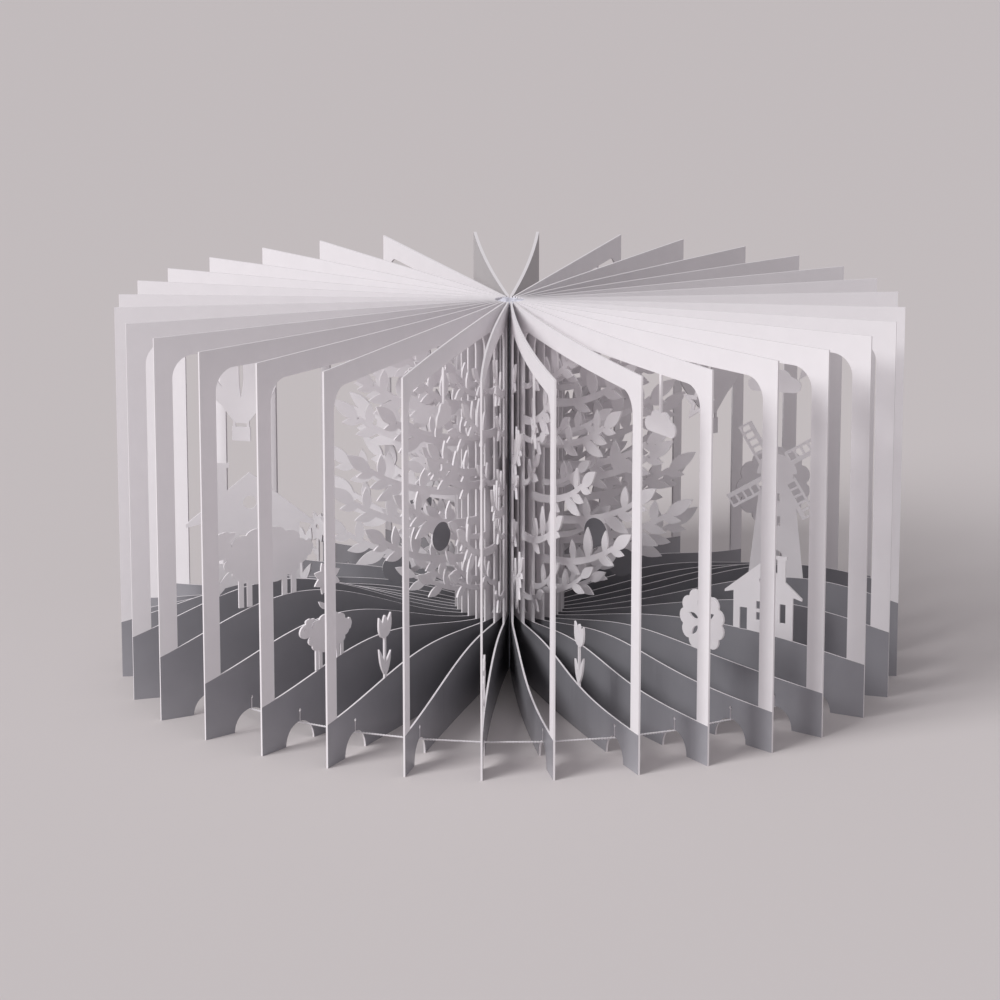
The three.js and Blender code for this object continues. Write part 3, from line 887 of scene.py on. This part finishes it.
def spine_adhesive():
    """Hot-melt binding glue, set: slightly glossy, bluish white, lumpy."""
    material, tree, shader = base_material("set binding glue", colours().glue, roughness=0.4)
    if tree:
        where = add(tree, "ShaderNodeTexCoord", (-6, 0)).outputs["Object"]
        mottled(tree, shader, colours().glue, where, cell_mm=1.5, amount=0.12)
        roughened(tree, shader, where, cell_mm=1.1, depth_mm=0.2, detail=3.0, strength=0.8)
    return material


def cotton_thread():
    """Twisted cotton: soft, no shine."""
    look = dict(roughness=0.9, tooth_mm=0.25, tooth_depth_mm=0.05, patch_mm=2, patch=0.04)
    return card_stock("twisted cotton thread", colours().thread, **look)


# Operators


class BOOK_OT_stage(Operator):
    """Set the floor, the light and the camera"""

    bl_idname = "book.stage"
    bl_label = "Stage"

    def execute(self, context):
        floor_and_backdrop()
        lights()
        camera()
        context.scene.view_settings.view_transform = "Standard"
        return {"FINISHED"}


# The studio, in metres, degrees and watts
FLOOR_HALF, FLOOR_GAP, FLOOR_ROUGHNESS, FLOOR_SHINE = 9.0, 0.00002, 0.95, 0.1
SUN_PLACE, SUN_STRENGTH, SUN_ANGLE = (-1.3, -1.06, 1.2), 2.25, 28
FILL_PLACE, FILL_SIZE, FILL_POWER = (0.4, -1.6, 1.2), 1.6, 1.5
LIGHT_AIM = Vector((0, 0, 0.05))
WORLD_COLOUR, WORLD_STRENGTH = "#d9d6d9", 0.59
CAMERA_PLACE = Vector((-2.65, -1080.1, 310.0)) * MM
CAMERA_AIM = Vector((-2.65, 0.0, 47.26)) * MM
CAMERA_LENS, CAMERA_SENSOR, CAMERA_NEAR, CAMERA_FAR = 144.2, 36.0, 0.05, 20


def floor_and_backdrop():
    """One wide level sheet, which fills the view up to its top edge."""
    mesh = bpy.data.meshes.new("studio_floor")
    corners = ((-1, -1), (1, -1), (1, 1), (-1, 1))
    mesh.from_pydata([(x * FLOOR_HALF, y * FLOOR_HALF, -FLOOR_GAP) for x, y in corners], [], [(0, 1, 2, 3)])
    floor = new_piece("studio_floor", mesh)
    material, _, shader = base_material("matt studio paper", colours().floor, FLOOR_ROUGHNESS)
    shader.inputs["Specular IOR Level"].default_value = FLOOR_SHINE
    mesh.materials.append(material)


def lights():
    """A broad soft key from the reader's left, a weak fill from the front and even light all round."""
    key = bpy.data.lights.new("key", "SUN")
    key.energy, key.angle = SUN_STRENGTH, math.radians(SUN_ANGLE)
    fill = bpy.data.lights.new("fill", "AREA")
    fill.shape, fill.size, fill.energy = "DISK", FILL_SIZE, FILL_POWER
    aimed("key", key, SUN_PLACE, LIGHT_AIM)
    aimed("fill", fill, FILL_PLACE, LIGHT_AIM)
    world = bpy.data.worlds.new("studio")
    world.use_nodes = True
    around = world.node_tree.nodes["Background"].inputs
    around["Color"].default_value = linear(WORLD_COLOUR)
    around["Strength"].default_value = WORLD_STRENGTH
    bpy.context.scene.world = world


def camera():
    data = bpy.data.cameras.new("camera")
    data.lens, data.sensor_width = CAMERA_LENS, CAMERA_SENSOR
    data.clip_start, data.clip_end = CAMERA_NEAR, CAMERA_FAR
    bpy.context.scene.camera = aimed("camera", data, CAMERA_PLACE, CAMERA_AIM)


def bend(piece, plan, line, thickness, card, ink):
    root, fore, bow = line
    tree = bpy.data.node_groups.get("Bent card") or bent_card_tree()
    return made_real(
        piece,
        tree,
        Thickness=thickness * MM,
        Length=plan.leaf_length * MM,
        Bow=bow * MM,
        Bound_radius=plan.bound_radius * MM,
        Pitch=math.tau / plan.leaves,
        Clearance=plan.clearance * MM,
        Root=tuple(root * MM),
        Fore_edge=tuple(fore * MM),
        Card=card,
        Print=ink,
    )


STRAIGHT_BOW, FOLD_STEP, PLAIN_STEP, SQUEEZE_END = 0.2, 2.6, 26.0, 2.1


def folds(plan, bow):
    """Where a leaf's sheet is divided so that it can bend."""
    step = FOLD_STEP if bow > STRAIGHT_BOW else PLAIN_STEP
    count = int(plan.leaf_length / step)
    return [SQUEEZE_END / 2, SQUEEZE_END] + [SQUEEZE_END + step * (k + 1) for k in range(count - 1)]


class BOOK_OT_page_leaves(Operator):
    """Cut, print and bend the page leaves"""

    bl_idname = "book.page_leaves"
    bl_label = "Page leaves"

    def execute(self, context):
        plan = Plan(sizes())
        for i in range(1, plan.pages + 1):
            line = plan.page_line(i)
            name = f"page_card_{i:02d}"
            sheet = flat_sheet(name, page_outlines(plan, i, line), folds(plan, line[2]))
            piece = new_piece(name, sheet)
            bend(piece, plan, line, plan.thickness, bare_card(), printed_card_with_painted_shade())
            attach(piece, "pages")
            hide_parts(f"page_leaf_{i:02d}")
        return {"FINISHED"}


class BOOK_OT_covers(Operator):
    """Make the two cover boards"""

    bl_idname = "book.covers"
    bl_label = "Covers"

    def execute(self, context):
        plan = Plan(sizes())
        places = (
            ("front_cover", 0, sizes().front_cover, -plan.cover_bow),
            ("back_cover", plan.leaves - 1, sizes().back_cover, plan.cover_bow),
        )
        for name, i, turn, bow in places:
            line = plan.line(i, turn, bow)
            size, top = plan.leaf_length, plan.leaf_height
            whole = [(0, 0), (size, 0), (size, top), (0, top)]
            outlines = [(whole, "card"), (whole, "print")]
            sheet = flat_sheet(f"{name}_board", outlines, folds(plan, plan.cover_bow))
            piece = new_piece(f"{name}_board", sheet)
            bend(piece, plan, line, plan.cover_thickness, bare_card(), cover_board())
            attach(piece, name)
            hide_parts(name)
        return {"FINISHED"}


# The set glue, in millimetres: how far its top sinks below the leaves' edges, and the lumps left standing
GLUE_SIDES, GLUE_RINGS, GLUE_BITE, GLUE_FOOT = 96, 14, 0.25, 0.05
GLUE_DIP, GLUE_DIP_LEAST, GLUE_DIP_MOST = 0.75, 0.12, 0.8
LUMPS, LUMP_HEIGHT, LUMP_SEED = 26, 0.4, 5


class BOOK_OT_spine_glue(Operator):
    """Finish the glue in the spine"""

    bl_idname = "book.spine_glue"
    bl_label = "Spine glue"

    def execute(self, context):
        plan = Plan(sizes())
        draw = random.Random(LUMP_SEED)
        radius = plan.bound_radius - plan.clearance + GLUE_BITE
        lumps = [
            (draw.uniform(0, math.tau), draw.uniform(0.3, 1), draw.uniform(0.5, 1.1))
            for _ in range(LUMPS)
        ]

        def dip(x, y):
            depth = GLUE_DIP
            for turn, away, size in lumps:
                near = radius * away
                gap = math.hypot(x - near * math.cos(turn), y - near * math.sin(turn)) / size
                depth -= LUMP_HEIGHT * math.exp(-gap * gap)
            return min(max(depth, GLUE_DIP_LEAST), GLUE_DIP_MOST)

        points, faces = [(0, 0, plan.leaf_height - dip(0, 0))], []
        for k in range(1, GLUE_RINGS + 1):
            for n in range(GLUE_SIDES):
                turn = math.tau * n / GLUE_SIDES
                out = radius * k / GLUE_RINGS
                x, y = out * math.cos(turn), out * math.sin(turn)
                points.append((x, y, plan.leaf_height - dip(x, y)))
        for n in range(GLUE_SIDES):
            turn = math.tau * n / GLUE_SIDES
            points.append((radius * math.cos(turn), radius * math.sin(turn), GLUE_FOOT))

        def ring_at(k, n):
            return 1 + (k - 1) * GLUE_SIDES + n % GLUE_SIDES

        for n in range(GLUE_SIDES):
            faces.append((0, ring_at(1, n), ring_at(1, n + 1)))
            for k in range(1, GLUE_RINGS + 1):
                corners = ((k, n), (k + 1, n), (k + 1, n + 1), (k, n + 1))
                faces.append([ring_at(*corner) for corner in corners])
        faces.append([ring_at(GLUE_RINGS + 1, n) for n in range(GLUE_SIDES)][::-1])
        mesh = bpy.data.meshes.new("spine_adhesive")
        mesh.from_pydata([tuple(v * MM for v in point) for point in points], [], faces)
        mesh.materials.append(spine_adhesive())
        piece = new_piece("spine_adhesive", mesh)
        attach(piece, "pages")
        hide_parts("spine_glue")
        return {"FINISHED"}


# The thread, in millimetres, and its knots, as shares of KNOT and STRAND
STRAND, TWIST, THREAD_STEP, PROFILE_SIDES = 0.14, 1.6, 0.2, 5
KNOT, KNOT_LOOP, KNOT_DEPTH, KNOT_TIGHT, KNOT_STRAND, KNOT_POINTS = 0.85, 0.33, 0.5, 0.85, 1.9, 60


def thread_tree():
    """Geometry Nodes: winds a strand round a path, sweeps it and sets its material."""
    tree, given = empty_tree(
        "Twisted strand", Float=("Strand radius", "Twist", "Step", "Phase"), Material=("Material",)
    )
    path = add(tree, "GeometryNodeMeshToCurve", (1, 0), {"Mesh": given["Geometry"]})
    stepped = {"Curve": path, "Length": given["Step"]}
    even = add(tree, "GeometryNodeResampleCurve", (2, 0), stepped, mode="LENGTH")
    run = add(tree, "GeometryNodeSplineParameter", (2, 3))
    turns = maths(tree, "DIVIDE", run.outputs["Length"], given["Twist"], (3, 3))
    turn = maths(tree, "ADD", maths(tree, "MULTIPLY", turns, math.tau, (4, 3)), given["Phase"], (5, 3))
    side = add(tree, "GeometryNodeInputNormal", (3, 5))
    tangent = add(tree, "GeometryNodeInputTangent", (3, 6))
    other = vectors(tree, "CROSS_PRODUCT", tangent, side, (4, 6))
    right = vectors(tree, "SCALE", side, maths(tree, "COSINE", turn, 0.0, (6, 3)), (7, 4))
    up = vectors(tree, "SCALE", other, maths(tree, "SINE", turn, 0.0, (6, 5)), (7, 6))
    away = vectors(tree, "SCALE", vectors(tree, "ADD", right, up, (8, 4)), given["Strand radius"], (9, 4))
    wound = add(tree, "GeometryNodeSetPosition", (10, 0), {"Geometry": even, "Offset": away})
    radius = {"Radius": given["Strand radius"]}
    profile = add(tree, "GeometryNodeCurvePrimitiveCircle", (10, 2), radius, Resolution=PROFILE_SIDES)
    sweep = {"Curve": wound, "Profile Curve": profile.outputs["Curve"]}
    swept = add(tree, "GeometryNodeCurveToMesh", (11, 0), sweep, Fill_Caps=True)
    real = add(tree, "GeometryNodeRealizeInstances", (12, 0), {"Geometry": swept})
    smooth = add(tree, "GeometryNodeSetShadeSmooth", (13, 0), {"Geometry": real})
    cotton = {0: smooth, "Material": given["Material"]}
    done = add(tree, "GeometryNodeSetMaterial", (14, 0), cotton)
    add(tree, "NodeGroupOutput", (15, 0), {0: done})
    return tree


class BOOK_OT_spacer_thread(Operator):
    """Run the spacer thread through the arches"""

    bl_idname = "book.spacer_thread"
    bl_label = "Spacer thread"

    def execute(self, context):
        plan = Plan(sizes())
        height = plan.arch_radius - 2 * STRAND
        beyond = plan.thickness / 2 + KNOT
        path = [plan.on_leaf(plan.page_line(1), plan.arch_at, height, beyond)]
        path += [plan.on_leaf(plan.page_line(i), plan.arch_at, height, 0) for i in range(1, plan.pages + 1)]
        path.append(plan.on_leaf(plan.page_line(plan.pages), plan.arch_at, height, -beyond))
        links = [(k, k + 1) for k in range(len(path) - 1)]
        tree = thread_tree()
        strands = []
        for phase in (0.0, math.pi):
            mesh = bpy.data.meshes.new("strand")
            mesh.from_pydata([point * MM for point in path], links, [])
            strand = new_piece("strand", mesh)
            run = dict(Strand_radius=STRAND * MM, Twist=TWIST * MM, Step=THREAD_STEP * MM, Phase=phase)
            strands.append(made_real(strand, tree, Material=cotton_thread(), **run))
        knots = [knot(path[0]), knot(path[-1])]
        piece = joined("thread_run", strands + knots)
        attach(piece, "pages")
        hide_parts("spacer_thread")
        return {"FINISHED"}


def knot(place):
    """A small hard knot: a trefoil of thread pulled tight round its middle."""
    curve_data = bpy.data.curves.new("knot", "CURVE")
    curve_data.dimensions = "3D"
    curve_data.bevel_depth, curve_data.bevel_resolution = STRAND * KNOT_STRAND * MM, 2
    spline = curve_data.splines.new("POLY")
    spline.points.add(KNOT_POINTS - 1)
    for k, point in enumerate(spline.points):
        t = math.tau * k / KNOT_POINTS
        swell = KNOT * KNOT_LOOP * (2 + math.cos(3 * t))
        high = KNOT * KNOT_DEPTH * math.sin(3 * t)
        away = Vector((swell * math.cos(2 * t), swell * math.sin(2 * t), high))
        point.co = (*(place + away * KNOT_TIGHT) * MM, 1)
    spline.use_cyclic_u = True
    loop = new_piece("knot", curve_data)
    graph = bpy.context.evaluated_depsgraph_get()
    mesh = bpy.data.meshes.new_from_object(loop.evaluated_get(graph))
    bpy.data.objects.remove(loop)
    bpy.data.curves.remove(curve_data)
    mesh.materials.clear()
    mesh.materials.append(cotton_thread())
    mesh.shade_smooth()
    return new_piece("knot", mesh)


def joined(name, parts):
    """One piece from several."""
    with bpy.context.temp_override(active_object=parts[0], selected_editable_objects=parts):
        bpy.ops.object.join()
    parts[0].name = parts[0].data.name = name
    return parts[0]


OPERATORS = (BOOK_OT_stage, BOOK_OT_page_leaves, BOOK_OT_covers, BOOK_OT_spine_glue, BOOK_OT_spacer_thread)


class BOOK_PT_panel(Panel):
    """Lists the steps that build the book"""

    bl_idname = "BOOK_PT_panel"
    bl_label = "Carousel Book"
    bl_space_type = "VIEW_3D"
    bl_region_type = "UI"
    bl_category = "Carousel Book"

    def draw(self, context):
        column = self.layout.column()
        for step in OPERATORS:
            column.operator(step.bl_idname)
        for group in (context.scene.book_sizes, context.scene.book_colours):
            for name in group.__annotations__:
                column.prop(group, name)


CLASSES = (BookSizes, BookColours, *OPERATORS, BOOK_PT_panel)


def register():
    for kind in CLASSES:
        bpy.utils.register_class(kind)
    bpy.types.Scene.book_sizes = PointerProperty(type=BookSizes)
    bpy.types.Scene.book_colours = PointerProperty(type=BookColours)


def unregister():
    del bpy.types.Scene.book_colours
    del bpy.types.Scene.book_sizes
    for kind in reversed(CLASSES):
        bpy.utils.unregister_class(kind)


def main():
    register()
    bpy.ops.book.stage()
    bpy.ops.book.page_leaves()
    bpy.ops.book.covers()
    bpy.ops.book.spine_glue()
    bpy.ops.book.spacer_thread()


if __name__ == "__main__":
    main()
